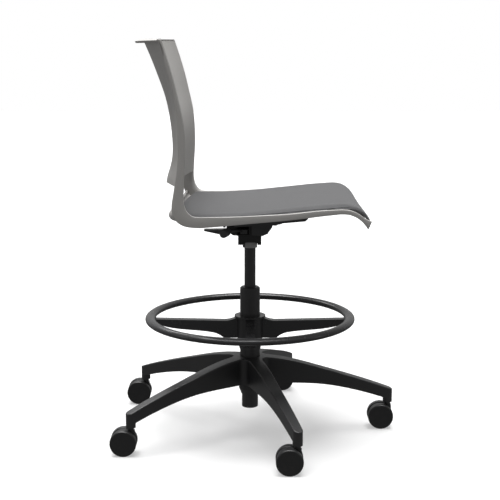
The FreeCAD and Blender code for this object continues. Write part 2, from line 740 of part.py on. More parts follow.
def tail_dip(x):
    """The rear skin's lower edge hangs lowest at the middle (1) and rises to the uprights (0)."""
    blunt = 25.0
    way = (math.hypot(x, blunt) - blunt) / (math.hypot(rail_inner, blunt) - blunt)
    return (1.0 - min(way, 1.0)) ** 2


def back_panel():
    """Front skin of the back."""
    sections = []
    for x in (-234, -175, -117, -58, 0, 58, 117, 175, 234):
        outer = panel_line(x)
        sections.append((x, outer, offset_line(outer, -back_thickness)))
    return skin(sections)


def back_shell():
    """Rear skin: flared tail at the bottom and a lip turned back along the top."""
    sections = []
    for x in (-234, -175, -117, -58, 0, 58, 117, 175, 234):
        curve = plan_curve(x)
        tail_z = 645 - 14.5 * tail_dip(x)
        line = [(169.8 + 34 * curve, tail_z), (168.5 + 33 * curve, tail_z + 14)]
        line.append((166.3 + 27.7 * curve, 678 - 6 * curve))
        for z, y in rear_edge:
            line.append((y + sagitta(z) * curve, z))
        sections.append((x, offset_line(line, back_thickness), line))
    return skin(sections)


def top_lip():
    """Grab lip along the top of the back: it spans both skins and turns rearward."""
    sections = []
    for x in (-234, -215, -175, -117, -58, 0, 58, 117, 175, 215, 234):
        curve = plan_curve(x)
        front = 197.5 + 50 * curve
        reach = 8.0 + 20.5 * min(1.0, 3.0 * (1 - abs(x) / 236.0)) ** 0.5
        upper = [(front, 975.8), (front + reach * 0.5, 975.3), (front + reach, 970.5 + 2 * (1 - curve))]
        lower = [(y, z - 3.4) for y, z in upper]
        sections.append((x, upper, lower))
    return skin(sections)


# ---------------------------------------------------------------- fasteners
def plate_bolts():
    """Four screws up through the plate into the seat shell."""
    group = []
    for x in (-54, 54):
        for y in (50, -120):
            head = V(x, y, plate_top(y) - plate_sheet)
            group.append(screw(head, V(0, -0.082, 0.9966), 12.0, 3.0, 6.0, 3.5))
    return Part.makeCompound(group)


def side_screws():
    """Screws through the shell's turned edge into each side rail."""
    group = []
    for side in (-1, 1):
        for y, z in ((90, 565), (-20, 574), (-130, 585)):
            start = V(side * (rail_inner - 1), y, z)
            group.append(screw(start, V(side, 0, 0), 10.0, 1.5, 2.8, 1.8))
    return Part.makeCompound(group)


def main():
    os.makedirs("parts", exist_ok=True)
    left_side = side_frame()
    pieces = {
        "five_star_base": five_star_base(),
        "column_outer_tube": column_outer_tube(),
        "column_guide_sleeve": column_guide_sleeve(),
        "column_base_disc": column_base_disc(),
        "thrust_bearing": thrust_bearing(),
        "piston_rod": piston_rod(),
        "rod_clip": rod_clip(),
        "rod_buffer": rod_buffer(),
        "gas_cylinder": gas_cylinder(),
        "taper_sleeve": taper_sleeve(),
        "sleeve_band": sleeve_band(),
        "gas_valve_pin": gas_valve_pin(),
        "footring": footring(),
        "ring_bush": ring_bush(),
        "ring_lock_collar": ring_lock_collar(),
        "mechanism_housing": mechanism_housing(),
        "torsion_bush": torsion_bush(),
        "tilt_pivot_pin": tilt_pivot_pin(),
        "seat_plate": seat_plate(),
        "height_lever_arm": height_lever_arm(),
        "height_lever_grip": height_lever_grip(),
        "tilt_lock_shaft": tilt_lock_shaft(),
        "tilt_lock_paddle": tilt_lock_paddle(),
        "side_frame_left": left_side,
        "side_frame_right": mirrored(left_side),
        "seat_shell": seat_shell(),
        "cushion_board": cushion_board(),
        "seat_pad": seat_pad(),
        "back_panel": back_panel(),
        "back_shell": back_shell(),
        "top_lip": top_lip(),
        "plate_bolts": plate_bolts(),
        "side_screws": side_screws(),
    }
    pieces.update(casters())
    for name, shape in pieces.items():
        shape.exportStep("parts/%s.step" % name)
        bounds = shape.BoundBox
        print("%-22s valid %s solids %d volume %.1f cm3  x %.1f %.1f y %.1f %.1f z %.1f %.1f" % (
            name, shape.isValid(), len(shape.Solids), shape.Volume / 1000, bounds.XMin, bounds.XMax,
            bounds.YMin, bounds.YMax, bounds.ZMin, bounds.ZMax))


main()
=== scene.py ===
"""Looks of the drafting chair: moulded seat and back, upholstered pad, gas lift, foot ring, five-star base.

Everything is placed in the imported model's frame: +Z up, the sitter faces -Y. Sizes and outline points are in
millimetres, and to_metres turns them into Blender's metres. Camera, floor, lights and texture scales are in
metres.
"""
import bpy
import bmesh
import json
import math
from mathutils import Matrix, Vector


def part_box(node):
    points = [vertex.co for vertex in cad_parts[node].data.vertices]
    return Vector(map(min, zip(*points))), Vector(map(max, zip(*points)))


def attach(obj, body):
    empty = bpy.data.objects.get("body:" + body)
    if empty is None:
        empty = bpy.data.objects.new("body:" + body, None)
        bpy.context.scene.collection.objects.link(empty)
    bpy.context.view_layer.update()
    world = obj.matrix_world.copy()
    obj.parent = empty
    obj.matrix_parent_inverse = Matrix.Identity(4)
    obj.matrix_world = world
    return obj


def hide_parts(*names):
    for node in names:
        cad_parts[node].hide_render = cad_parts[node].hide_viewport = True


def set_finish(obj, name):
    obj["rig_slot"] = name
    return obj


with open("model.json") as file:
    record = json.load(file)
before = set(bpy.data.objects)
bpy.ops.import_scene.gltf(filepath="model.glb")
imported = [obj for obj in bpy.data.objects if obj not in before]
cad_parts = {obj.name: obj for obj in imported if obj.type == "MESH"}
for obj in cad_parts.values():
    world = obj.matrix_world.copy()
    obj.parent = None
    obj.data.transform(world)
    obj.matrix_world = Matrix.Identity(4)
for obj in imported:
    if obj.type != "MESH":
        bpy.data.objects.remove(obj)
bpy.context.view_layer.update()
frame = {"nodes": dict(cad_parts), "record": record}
nodes = frame["nodes"]


# ------------------------------------------------------------------ driving sizes, millimetres
HALF_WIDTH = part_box("side_frame_left")[1].x * 1000
RAIL_THICKNESS = HALF_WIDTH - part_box("side_frame_left")[0].x * 1000
RAIL_INNER = HALF_WIDTH - RAIL_THICKNESS
EDGE_RADIUS = 1.4
INNER_SLOPE_WIDTH = 12.0
INNER_SLOPE_DEPTH = 3.2
CROOK_SLOPE_DEPTH = 11.0
CROOK_STATION = 75
CROOK_SPREAD = 27.0
END_RADIUS = 2.0
SHELL_THICKNESS = 5.0
DIP_START = 145.0
DIP_FLAT = 75.0
RIM_BLUNTNESS = 24.0
RIM_FALL_OFF = 1.3
PAD_CLEARANCE = 1.5
PAD_HALF_WIDTH = 231.0
PAD_BAND_START = 217.0
PAD_BAND_BLEND = 5.0
PAD_HOLLOW = 5.0
PAD_REAR_Y = 177.0
PAD_REAR_CURVE = 24.0
PAD_FOOT_Z = 563.0
PAD_FOOT_RISE = 5.0
BAND_DEPTH_FRONT = 5.5
BAND_DEPTH_REAR = 4.0
BAND_CHANGE_LENGTH = 120.0
NOSE_FADE_START = -226.0
NOSE_FADE_LENGTH = 34.0
SEAM_X = 224.5
SEAM_RADIUS = 0.9
SEAM_SINK = 0.35
SEAM_REAR = 128.0
SEAM_STEP = 4.3
SEAM_LOWEST = 560.0
BACK_SKIN = 3.0
BACK_HOLLOW = 24.0
BACK_HOLLOW_GROWTH = 0.124
BACK_WAIST_Z = 750.0
BACK_WAIST_BLEND = 30.0
TAIL_SWEEP = 14.5
TAIL_BLUNTNESS = 25.0
LIP_THICKNESS = 4.4
LIP_FRONT_Y = 197.5
LIP_BOW = 50.0
LIP_TOP_Z = 975.8
LIP_REAR_Z = 970.5
LIP_HALF_WIDTH = 236.0
LIP_END_REACH = 8.0
LIP_EXTRA_REACH = 20.5


# ------------------------------------------------------------------ curve and mesh helpers
def to_metres(point):
    return Vector(point) / 1000.0


def lerp(a, b, t):
    return a + (b - a) * t


def clamp(value, low, high):
    return min(max(value, low), high)


def smooth_step(t):
    t = clamp(t, 0.0, 1.0)
    return t * t * (3 - 2 * t)


def natural_spline(knots, values, at):
    """Natural cubic spline through (knots, values), read at each position in at."""
    n = len(knots)
    step = [knots[i + 1] - knots[i] for i in range(n - 1)]
    slope = [(values[i + 1] - values[i]) / step[i] for i in range(n - 1)]
    diagonal = [1.0] * n
    right = [0.0] * n
    upper = [0.0] * n
    for i in range(1, n - 1):
        weight = 2 * (knots[i + 1] - knots[i - 1]) - step[i - 1] * upper[i - 1]
        diagonal[i] = weight
        upper[i] = step[i] / weight
        right[i] = (3 * (slope[i] - slope[i - 1]) - step[i - 1] * right[i - 1]) / weight
    bend = [0.0] * n
    for i in range(n - 2, 0, -1):
        bend[i] = right[i] - upper[i] * bend[i + 1]
    result = []
    k = 0
    for s in at:
        while k < n - 2 and s > knots[k + 1]:
            k += 1
        d = s - knots[k]
        first = slope[k] - step[k] * (2 * bend[k] + bend[k + 1]) / 3
        third = (bend[k + 1] - bend[k]) / (3 * step[k])
        result.append(values[k] + d * (first + d * (bend[k] + d * third)))
    return result


def curve_points(points, count):
    """count points along the smooth curve through the given (y, z) points."""
    knots = [0.0]
    for a, b in zip(points, points[1:]):
        knots.append(knots[-1] + math.dist(a, b))
    at = [knots[-1] * i / (count - 1) for i in range(count)]
    ys = natural_spline(knots, [p[0] for p in points], at)
    zs = natural_spline(knots, [p[1] for p in points], at)
    return list(zip(ys, zs))


def offset_line(points, distance):
    """Shift an open (y, z) line sideways, to the left of its direction."""
    last = len(points) - 1
    shifted = []
    for i, (y, z) in enumerate(points):
        before = points[max(i - 1, 0)]
        after = points[min(i + 1, last)]
        dy, dz = after[0] - before[0], after[1] - before[1]
        length = math.hypot(dy, dz)
        shifted.append((y - dz / length * distance, z + dy / length * distance))
    return shifted


def mesh_piece(name, points, faces, material):
    """A new object from millimetre points."""
    mesh = bpy.data.meshes.new(name)
    mesh.from_pydata([to_metres(p) for p in points], [], faces)
    mesh.validate()
    piece = bpy.data.objects.new(name, mesh)
    bpy.context.scene.collection.objects.link(piece)
    mesh.materials.append(material)
    outward(piece)
    shade_smooth(piece)
    return piece


def outward(piece):
    """Merge doubled points and turn every face outward."""
    bm = bmesh.new()
    bm.from_mesh(piece.data)
    bmesh.ops.remove_doubles(bm, verts=bm.verts, dist=1e-6)
    bmesh.ops.recalc_face_normals(bm, faces=bm.faces)
    bm.to_mesh(piece.data)
    bm.free()


def shade_smooth(piece, angle=40.0):
    """Smooth shading, kept sharp where faces meet at more than the angle."""
    mesh = piece.data
    mesh.shade_smooth()
    bm = bmesh.new()
    bm.from_mesh(mesh)
    limit = math.radians(angle)
    for edge in bm.edges:
        edge.smooth = not (len(edge.link_faces) == 2 and edge.calc_face_angle() > limit)
    bm.to_mesh(mesh)
    bm.free()


def loft(name, rings, material):
    """Skin equal closed rings of points, with a cap on each end."""
    size = len(rings[0])
    points = [p for ring in rings for p in ring]
    faces = []
    for r in range(len(rings) - 1):
        for i in range(size):
            j = (i + 1) % size
            faces.append((r * size + i, r * size + j, (r + 1) * size + j, (r + 1) * size + i))
    faces.append(tuple(range(size)))
    faces.append(tuple(range((len(rings) - 1) * size, len(rings) * size)))
    return mesh_piece(name, points, faces, material)


def tube(name, path, radius, material, steps=20):
    """A round rod along a path of points."""
    rings = []
    side = (path[1] - path[0]).orthogonal().normalized()
    for i, p in enumerate(path):
        ahead = (path[min(i + 1, len(path) - 1)] - path[max(i - 1, 0)]).normalized()
        side = (side - ahead * side.dot(ahead)).normalized()
        other = ahead.cross(side)
        ring = []
        for k in range(steps):
            turn = 2 * math.pi * k / steps
            ring.append(p + (side * math.cos(turn) + other * math.sin(turn)) * radius)
        rings.append(ring)
    return loft(name, rings, material)


def apply_modifiers(piece):
    """Turn the modifiers' result into the piece's own mesh."""
    view = bpy.context.evaluated_depsgraph_get()
    made = bpy.data.meshes.new_from_object(piece.evaluated_get(view), depsgraph=view)
    piece.modifiers.clear()
    piece.data = made


def place(piece, body, slot, *replaced):
    """Fix a piece to its body and material slot, in place of the CAD nodes it shows."""
    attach(piece, body)
    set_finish(piece, slot)
    if replaced:
        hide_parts(*replaced)
    return piece


# ------------------------------------------------------------------ materials
def srgb(value):
    """Linear value of one 0..255 colour channel."""
    value = value / 255.0
    if value <= 0.04045:
        return value / 12.92
    return ((value + 0.055) / 1.055) ** 2.4


def grey(r, g, b):
    return (srgb(r), srgb(g), srgb(b), 1.0)


class Shader:
    """A material being built from nodes."""

    def __init__(self, name):
        self.material = bpy.data.materials.new(name)
        self.material.use_nodes = True
        self.tree = self.material.node_tree
        self.tree.nodes.clear()
        self.output = self.tree.nodes.new("ShaderNodeOutputMaterial")
        self.surface = self.tree.nodes.new("ShaderNodeBsdfPrincipled")
        self.link(self.surface.outputs["BSDF"], self.output.inputs["Surface"])
        self.place = self.tree.nodes.new("ShaderNodeTexCoord").outputs["Object"]
        self.height = None

    def link(self, source, target):
        self.tree.links.new(source, target)

    def set(self, **values):
        for name, value in values.items():
            self.surface.inputs[name.replace("_", " ")].default_value = value

    def mapped(self, scale, turn=(0, 0, 0)):
        node = self.tree.nodes.new("ShaderNodeMapping")
        node.inputs["Scale"].default_value = scale
        node.inputs["Rotation"].default_value = turn
        self.link(self.place, node.inputs["Vector"])
        return node.outputs["Vector"]

    def noise(self, scale, detail=3.0, roughness=0.5, vector=None):
        node = self.tree.nodes.new("ShaderNodeTexNoise")
        node.inputs["Scale"].default_value = scale
        node.inputs["Detail"].default_value = detail
        node.inputs["Roughness"].default_value = roughness
        self.link(vector or self.place, node.inputs["Vector"])
        return node.outputs["Fac"]

    def cells(self, scale, vector=None):
        node = self.tree.nodes.new("ShaderNodeTexVoronoi")
        node.inputs["Scale"].default_value = scale
        self.link(vector or self.place, node.inputs["Vector"])
        return node.outputs["Distance"]

    def ramp(self, source, low, high):
        """Stretch a 0..1 value between two positions, clamped."""
        node = self.tree.nodes.new("ShaderNodeMapRange")
        node.inputs["From Min"].default_value = low
        node.inputs["From Max"].default_value = high
        self.link(source, node.inputs["Value"])
        return node.outputs["Result"]

    def math(self, kind, a, b):
        node = self.tree.nodes.new("ShaderNodeMath")
        node.operation = kind
        for socket, value in zip(node.inputs, (a, b)):
            if isinstance(value, (int, float)):
                socket.default_value = value
            else:
                self.link(value, socket)
        return node.outputs["Value"]

    def mix(self, amount, a, b):
        node = self.tree.nodes.new("ShaderNodeMix")
        node.data_type = "RGBA"
        factor = node.inputs[0]
        if isinstance(amount, (int, float)):
            factor.default_value = amount
        else:
            self.link(amount, factor)
        for socket, value in ((node.inputs[6], a), (node.inputs[7], b)):
            if isinstance(value, tuple):
                socket.default_value = value
            else:
                self.link(value, socket)
        return node.outputs[2]

    def colour(self, source):
        self.link(source, self.surface.inputs["Base Color"])

    def roughness(self, source, low, high):
        node = self.tree.nodes.new("ShaderNodeMapRange")
        node.inputs["To Min"].default_value = low
        node.inputs["To Max"].default_value = high
        self.link(source, node.inputs["Value"])
        self.link(node.outputs["Result"], self.surface.inputs["Roughness"])

    def bump(self, source, depth_mm, strength=1.0):
        node = self.tree.nodes.new("ShaderNodeBump")
        node.inputs["Distance"].default_value = depth_mm / 1000.0
        node.inputs["Strength"].default_value = strength
        self.link(source, node.inputs["Height"])
        if self.height is not None:
            self.link(self.height, node.inputs["Normal"])
        self.height = node.outputs["Normal"]
        self.link(self.height, self.surface.inputs["Normal"])

    def worn_edges(self, base, worn, strength):
        """Blend towards the worn colour on convex edges."""
        node = self.tree.nodes.new("ShaderNodeNewGeometry")
        edge = self.ramp(node.outputs["Pointiness"], 0.52, 0.60)
        broken = self.math("MULTIPLY", edge, self.ramp(self.noise(60.0, 4.0), 0.35, 0.65))
        return self.mix(self.math("MULTIPLY", broken, strength), base, worn)


def scaled(colour, factor):
    return tuple(min(c * factor, 1.0) for c in colour[:3]) + (1.0,)


def moulded_plastic(name, colour, rough=(0.42, 0.55), grain=1400.0, depth=0.05, mottle=0.06, wear=0.25,
                    specular=0.5):
    """Injection-moulded plastic: spark-eroded grain, faint flow mottling, slightly polished edges."""
    shader = Shader(name)
    broad = shader.noise(9.0, 3.0, 0.6)
    base = shader.mix(broad, scaled(colour, 1 - mottle), scaled(colour, 1 + mottle))
    base = shader.worn_edges(base, scaled(colour, 1.35), wear)
    shader.colour(base)
    shader.roughness(shader.noise(28.0, 5.0, 0.65), *rough)
    shader.bump(shader.noise(grain, 2.0, 0.6), depth)
    shader.bump(shader.cells(grain * 0.6), depth * 0.6)
    shader.set(Specular_IOR_Level=specular)
    return shader.material


def powder_coat(name, colour, rough=(0.32, 0.45)):
    """Powder-coated or painted metal: orange peel, fine speckle, thin worn edges."""
    shader = Shader(name)
    speckle = shader.ramp(shader.noise(2600.0, 1.0), 0.45, 0.75)
    base = shader.mix(speckle, scaled(colour, 0.9), scaled(colour, 1.25))
    base = shader.worn_edges(base, scaled(colour, 1.8), 0.35)
    shader.colour(base)
    shader.roughness(shader.noise(40.0, 4.0, 0.6), *rough)
    shader.bump(shader.noise(420.0, 3.0, 0.55), 0.05)
    return shader.material


def cast_metal(name, colour):
    """Painted rough casting."""
    shader = Shader(name)
    base = shader.mix(shader.noise(120.0, 5.0, 0.7), scaled(colour, 0.75), scaled(colour, 1.3))
    shader.colour(shader.worn_edges(base, scaled(colour, 2.0), 0.3))
    shader.roughness(shader.noise(55.0, 4.0), 0.4, 0.62)
    shader.bump(shader.noise(650.0, 5.0, 0.7), 0.12)
    return shader.material


def turned_steel(name, colour, rough=(0.22, 0.38), stretch=(60.0, 60.0, 2200.0)):
    """Machined steel: fine lines round or along the part, light staining."""
    shader = Shader(name)
    lines = shader.noise(1.0, 4.0, 0.6, shader.mapped(stretch))
    stain = shader.noise(35.0, 5.0, 0.6)
    shader.colour(shader.mix(stain, scaled(colour, 0.82), scaled(colour, 1.08)))
    shader.roughness(lines, *rough)
    shader.bump(lines, 0.02)
    shader.set(Metallic=1.0)
    return shader.material


def soft_rubber(name, colour):
    shader = Shader(name)
    base = shader.mix(shader.noise(14.0, 4.0), scaled(colour, 0.8), scaled(colour, 1.3))
    shader.colour(base)
    shader.roughness(shader.noise(45.0, 4.0), 0.62, 0.82)
    shader.bump(shader.noise(900.0, 3.0), 0.08)
    return shader.material


def wheel_tread(name, colour):
    """Hard nylon wheel: satin faces, a scuffed rolling band, dust in the grain."""
    shader = Shader(name)
    dust = shader.ramp(shader.noise(75.0, 6.0, 0.7), 0.5, 0.8)
    base = shader.mix(shader.noise(16.0, 3.0), scaled(colour, 0.85), scaled(colour, 1.15))
    base = shader.mix(shader.math("MULTIPLY", dust, 0.12), base, grey(96, 92, 86))
    shader.colour(shader.worn_edges(base, scaled(colour, 2.2), 0.35))
    shader.roughness(shader.noise(60.0, 5.0, 0.7), 0.33, 0.5)
    shader.bump(shader.noise(800.0, 3.0), 0.04)
    return shader.material


def woven_fabric(name, colour):
    """Plain two-tone weave: warp along Y, weft along X, slub variation, a little fuzz."""
    shader = Shader(name)
    thread_pitch = 0.00125
    thread_wander = 0.0007
    face_fall = -0.9
    turns = 2 * math.pi / thread_pitch
    split = shader.tree.nodes.new("ShaderNodeSeparateXYZ")
    wobble = shader.noise(240.0, 2.0)
    shader.link(shader.place, split.inputs["Vector"])
    drift = shader.math("MULTIPLY", wobble, thread_wander)
    across = shader.math("MULTIPLY", shader.math("ADD", split.outputs["X"], drift), turns)
    fall = shader.math("MULTIPLY", split.outputs["Z"], face_fall)
    along = shader.math("ADD", shader.math("ADD", split.outputs["Y"], fall), drift)
    along = shader.math("MULTIPLY", along, turns)
    warp = shader.math("SINE", across, 0.0)
    weft = shader.math("SINE", along, 0.0)
    over = shader.math("MULTIPLY", warp, weft)
    threads = shader.math("MULTIPLY", shader.math("ADD", over, 1.0), 0.5)
    slub = shader.noise(1.0, 3.0, 0.6, shader.mapped((700.0, 60.0, 60.0)))
    slub_two = shader.noise(1.0, 3.0, 0.6, shader.mapped((60.0, 700.0, 700.0)))
    yarn = shader.math("MULTIPLY", shader.math("ADD", slub, slub_two), 0.5)
    base = shader.mix(threads, scaled(colour, 0.78), scaled(colour, 1.22))
    base = shader.mix(shader.ramp(yarn, 0.4, 0.65), scaled(colour, 0.86), base)
    broad = shader.noise(6.0, 3.0)
    base = shader.mix(shader.math("MULTIPLY", broad, 0.2), base, scaled(colour, 1.12))
    shader.colour(base)
    shader.roughness(yarn, 0.82, 0.98)
    shader.bump(threads, 0.22, 0.8)
    shader.bump(yarn, 0.15, 0.6)
    shader.set(Sheen_Weight=0.25, Sheen_Roughness=0.45, Specular_IOR_Level=0.2)
    return shader.material


def pale_floor(name):
    shader = Shader(name)
    base = shader.mix(shader.noise(2.0, 2.0), (0.47, 0.47, 0.47, 1.0), (0.49, 0.49, 0.49, 1.0))
    shader.colour(base)
    shader.roughness(shader.noise(12.0, 2.0), 0.55, 0.65)
    shader.set(Specular_IOR_Level=0.2, Emission_Color=(1.0, 1.0, 1.0, 1.0), Emission_Strength=0.4)
    return shader.material


LOOKS = {
    "black_nylon": moulded_plastic("black_nylon_look", grey(40, 40, 41), (0.34, 0.46), wear=0.3),
    "ring_nylon": moulded_plastic("ring_nylon_look", grey(50, 50, 51), (0.22, 0.31), depth=0.01, wear=0.3,
                                  specular=0.35),
    "knob_plastic": moulded_plastic("knob_plastic_look", grey(62, 62, 63), (0.35, 0.5)),
    "caster_plastic": moulded_plastic("caster_plastic_look", grey(28, 28, 29), (0.28, 0.42)),
    "caster_tread": wheel_tread("caster_tread_look", grey(26, 26, 27)),
    "black_paint": powder_coat("black_paint_look", grey(46, 46, 47)),
    "cast_black": cast_metal("cast_black_look", grey(14, 14, 15)),
    "bearing_steel": turned_steel("bearing_steel_look", grey(150, 150, 152)),
    "zinc_steel": turned_steel("zinc_steel_look", grey(150, 152, 150), (0.3, 0.5)),
    "chromed_rod": turned_steel("chromed_rod_look", grey(195, 195, 198), (0.06, 0.14)),
    "black_rubber": soft_rubber("black_rubber_look", grey(16, 16, 16)),
    "light_collar": moulded_plastic("light_collar_look", grey(150, 150, 150), (0.4, 0.55)),
    "grey_frame": moulded_plastic("grey_frame_look", grey(176, 174, 171), (0.40, 0.52), wear=0.12),
    "grey_shell": moulded_plastic("grey_shell_look", grey(176, 174, 171), (0.40, 0.52), wear=0.12),
    "back_front": moulded_plastic("back_front_look", grey(176, 174, 171), (0.40, 0.52), wear=0.12),
    "board_plastic": moulded_plastic("board_plastic_look", grey(60, 60, 60)),
    "pad_fabric": woven_fabric("pad_fabric_look", grey(84, 84, 85)),
    # The seam is the pad fabric made darker: the darkening is painted shade of the crease along the pad's side
    # band.
    "seam_with_painted_shade": woven_fabric("seam_with_painted_shade_look", grey(46, 46, 47)),
}


def dress_cad_nodes():
    """Give every carried-over CAD node the finish of its material slot."""
    slots = {row["node"]: row["material_slot"] for row in frame["record"]["subparts"]}
    for name, node in nodes.items():
        node.data.materials.clear()
        node.data.materials.append(LOOKS[slots[name]])
        node["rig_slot"] = slots[name]


dress_cad_nodes()


# ------------------------------------------------------------------ side frames
REAR_LINE = [(204, 975), (194, 955), (190.5, 929), (179, 885), (169, 841), (164.5, 797), (163, 752),
             (163.3, 707), (168.5, 662), (177, 610)]
FRONT_LINE = [(198, 975), (183, 929), (170.5, 885), (160.3, 841), (151, 797), (146.3, 740), (146.8, 689),
              (150, 640), (150.5, 618)]
CORNER_OUT = [(177, 610), (177.5, 590), (170, 571), (154, 558), (132, 553), (113, 552)]
CORNER_IN = [(150.5, 618), (147, 599), (140, 586.5), (129, 579), (113, 577.5)]
RAIL_UNDER = [(113, 552), (63, 556), (-23, 564), (-91, 570), (-159, 578.5), (-204, 583.5)]
RAIL_TOP = [(113, 577.5), (45, 578), (-23, 581), (-91, 585), (-158, 592), (-204, 594.8)]
NOSE_UNDER = [(-204, 583.5), (-222, 583), (-240, 577), (-254, 567), (-269, 549)]
NOSE_TOP = [(-204, 594.8), (-222, 594), (-240, 588.5), (-254, 580), (-263, 573.5), (-277, 567.5)]


def paired_lines():
    """Outer and inner edge lines of the side frame, station by station from the top to the nose."""
    outer, inner = [], []
    for a, b, count in ((REAR_LINE, FRONT_LINE, 60), (CORNER_OUT, CORNER_IN, 30),
                        (RAIL_UNDER, RAIL_TOP, 40), (NOSE_UNDER, NOSE_TOP, 24)):
        outer += curve_points(a, count)[:-1]
        inner += curve_points(b, count)[:-1]
    outer.append(NOSE_UNDER[-1])
    inner.append(NOSE_TOP[-1])
    return outer, inner


def frame_ring(low, high, side, flare, steps=4):
    """Section of the side frame from its outer line (low) to its inner line (high).

    Every long edge is rounded. The sitter's side of the inner line falls away in a broad slope, which flare
    deepens into the dished crook.
    """
    span = math.dist(low, high)
    along = ((high[0] - low[0]) / span, (high[1] - low[1]) / span)
    slope = min(INNER_SLOPE_DEPTH + flare * CROOK_SLOPE_DEPTH, span * 0.5)
    corners = ((HALF_WIDTH, span, 0, EDGE_RADIUS, EDGE_RADIUS),
               (RAIL_INNER, span, 90, INNER_SLOPE_WIDTH, slope),
               (RAIL_INNER, 0.0, 180, EDGE_RADIUS, EDGE_RADIUS),
               (HALF_WIDTH, 0.0, 270, EDGE_RADIUS, EDGE_RADIUS))
    ring = []
    for x, s, start, reach_x, reach_s in corners:
        cx = x - reach_x if x == HALF_WIDTH else x + reach_x
        cs = s - reach_s if s > 0 else s + reach_s
        for k in range(steps + 1):
            angle = math.radians(start + 90.0 * k / steps)
            across = cx + reach_x * math.cos(angle)
            s_at = cs + reach_s * math.sin(angle)
            ring.append((side * across, low[0] + along[0] * s_at, low[1] + along[1] * s_at))
    return ring


def centre_of(ring):
    return [sum(p[k] for p in ring) / len(ring) for k in range(3)]


def rounded_end(ring, before):
    """The end ring drawn back from the end, and the shrinking rings that round the end over beyond it."""
    middle = centre_of(ring)
    inside = centre_of(before)
    step = math.dist(middle, inside)
    ahead = [(m - n) / step for m, n in zip(middle, inside)]
    caps = []
    for turn in (25.0, 50.0, 75.0):
        shrink = END_RADIUS * (1.0 - math.cos(math.radians(turn)))
        push = END_RADIUS * math.sin(math.radians(turn)) - END_RADIUS
        cap = []
        for point in ring:
            reach = math.dist(point, middle)
            cap.append([m + (p - m) * (reach - shrink) / reach + a * push
                        for p, m, a in zip(point, middle, ahead)])
        caps.append(cap)
    return [[p - END_RADIUS * a for p, a in zip(point, ahead)] for point in ring], caps


def side_frame(name, side):
    """One L-shaped side moulding: rounded edges and ends, and a dished crook between rail and upright."""
    rings = []
    for i, (low, high) in enumerate(zip(*paired_lines())):
        flare = smooth_step(1.0 - abs(i - CROOK_STATION) / CROOK_SPREAD)
        rings.append(frame_ring(low, high, side, flare))
    top, top_caps = rounded_end(rings[0], rings[1])
    nose, nose_caps = rounded_end(rings[-1], rings[-2])
    rings = top_caps[::-1] + [top] + rings[1:-1] + [nose] + nose_caps
    return loft(name, rings, LOOKS["grey_frame"])


for side, name in ((1, "left"), (-1, "right")):
    place(side_frame("side_moulding_" + name, side), "seat", "grey_frame", "side_frame_" + name)


# ------------------------------------------------------------------ seat shell
SHELL_AT_RAIL = [(170, 581), (172, 575.5), (170.5, 570), (165, 564.5), (155, 560), (139, 556.8), (113, 555),
                 (63, 558.5), (-35, 567), (-125, 576.5), (-175, 583), (-204, 585.5), (-224, 584.8),
                 (-242, 579.5), (-257, 570), (-270.5, 551)]
SHELL_AT_CENTRE = [(184, 564), (194, 560), (201, 551.5), (199.8, 542), (191, 535), (170, 534), (120, 542.5),
                   (70, 546), (-35, 554.5), (-125, 562), (-170, 568), (-204, 575), (-224, 577), (-244, 573),
                   (-258.5, 564.5), (-270.5, 550.5)]


def way_out(x, blunt):
    """0 at the middle and 1 at the rails, rising almost straight, with a blunted start."""
    return min((math.hypot(x, blunt) - blunt) / (math.hypot(RAIL_INNER, blunt) - blunt), 1.0)


def shell_line(x):
    """Underside line of the seat shell at one x."""
    dip = 0.5 - 0.5 * math.cos(math.pi * clamp((DIP_START - abs(x)) / (DIP_START - DIP_FLAT), 0.0, 1.0))
    bulge = (1.0 - way_out(x, RIM_BLUNTNESS)) ** RIM_FALL_OFF
    line = []
    for i, (side, middle) in enumerate(zip(SHELL_AT_RAIL, SHELL_AT_CENTRE)):
        share = lerp(bulge, dip, clamp((i - 4) / 2.0, 0.0, 1.0))
        line.append((lerp(side[0], middle[0], max(share, 0.0)), lerp(side[1], middle[1], share)))
    return line


def strip_ring(x, outer, inner):
    """Closed ring round a thin strip, with its two long edges rounded."""
    ring = [(x, y, z) for y, z in outer]
    for a, b, ends in ((outer, inner, (-1, -2)), (inner, outer, (0, 1))):
        edge, before = a[ends[0]], a[ends[1]]
        opposite = b[ends[0]]
        ahead = (edge[0] - before[0], edge[1] - before[1])
        length = math.hypot(*ahead)
        half = math.dist(edge, opposite) / 2
        ahead = (ahead[0] / length * half, ahead[1] / length * half)
        middle = ((edge[0] + opposite[0]) / 2, (edge[1] + opposite[1]) / 2)
        spoke = (edge[0] - middle[0], edge[1] - middle[1])
        for k in range(1, 5):
            turn = math.pi * k / 5
            ring.append((x, middle[0] - ahead[0] + spoke[0] * math.cos(turn) + ahead[0] * math.sin(turn),
                         middle[1] - ahead[1] + spoke[1] * math.cos(turn) + ahead[1] * math.sin(turn)))
        if ends[0] == -1:
            ring += [(x, y, z) for y, z in reversed(inner)]
    return ring


def seat_shell():
    """Dished seat moulding between the two rails."""
    stations = 61
    rings = []
    for i in range(stations):
        x = -RAIL_INNER + 2 * RAIL_INNER * i / (stations - 1)
        outer = curve_points(shell_line(x), 90)
        rings.append(strip_ring(x, outer, offset_line(outer, -SHELL_THICKNESS)))
    return loft("seat_moulding", rings, LOOKS["grey_shell"])


place(seat_shell(), "seat", "grey_shell", "seat_shell")


# ------------------------------------------------------------------ seat pad
PAD_RIDGE = [(114, 577), (68, 577.5), (23, 579.5), (-22, 583), (-70, 588), (-115, 592.8), (-160, 597.5),
             (-204, 600.5), (-224, 601), (-243, 597.2), (-257, 588.5), (-269, 575), (-277, 561)]


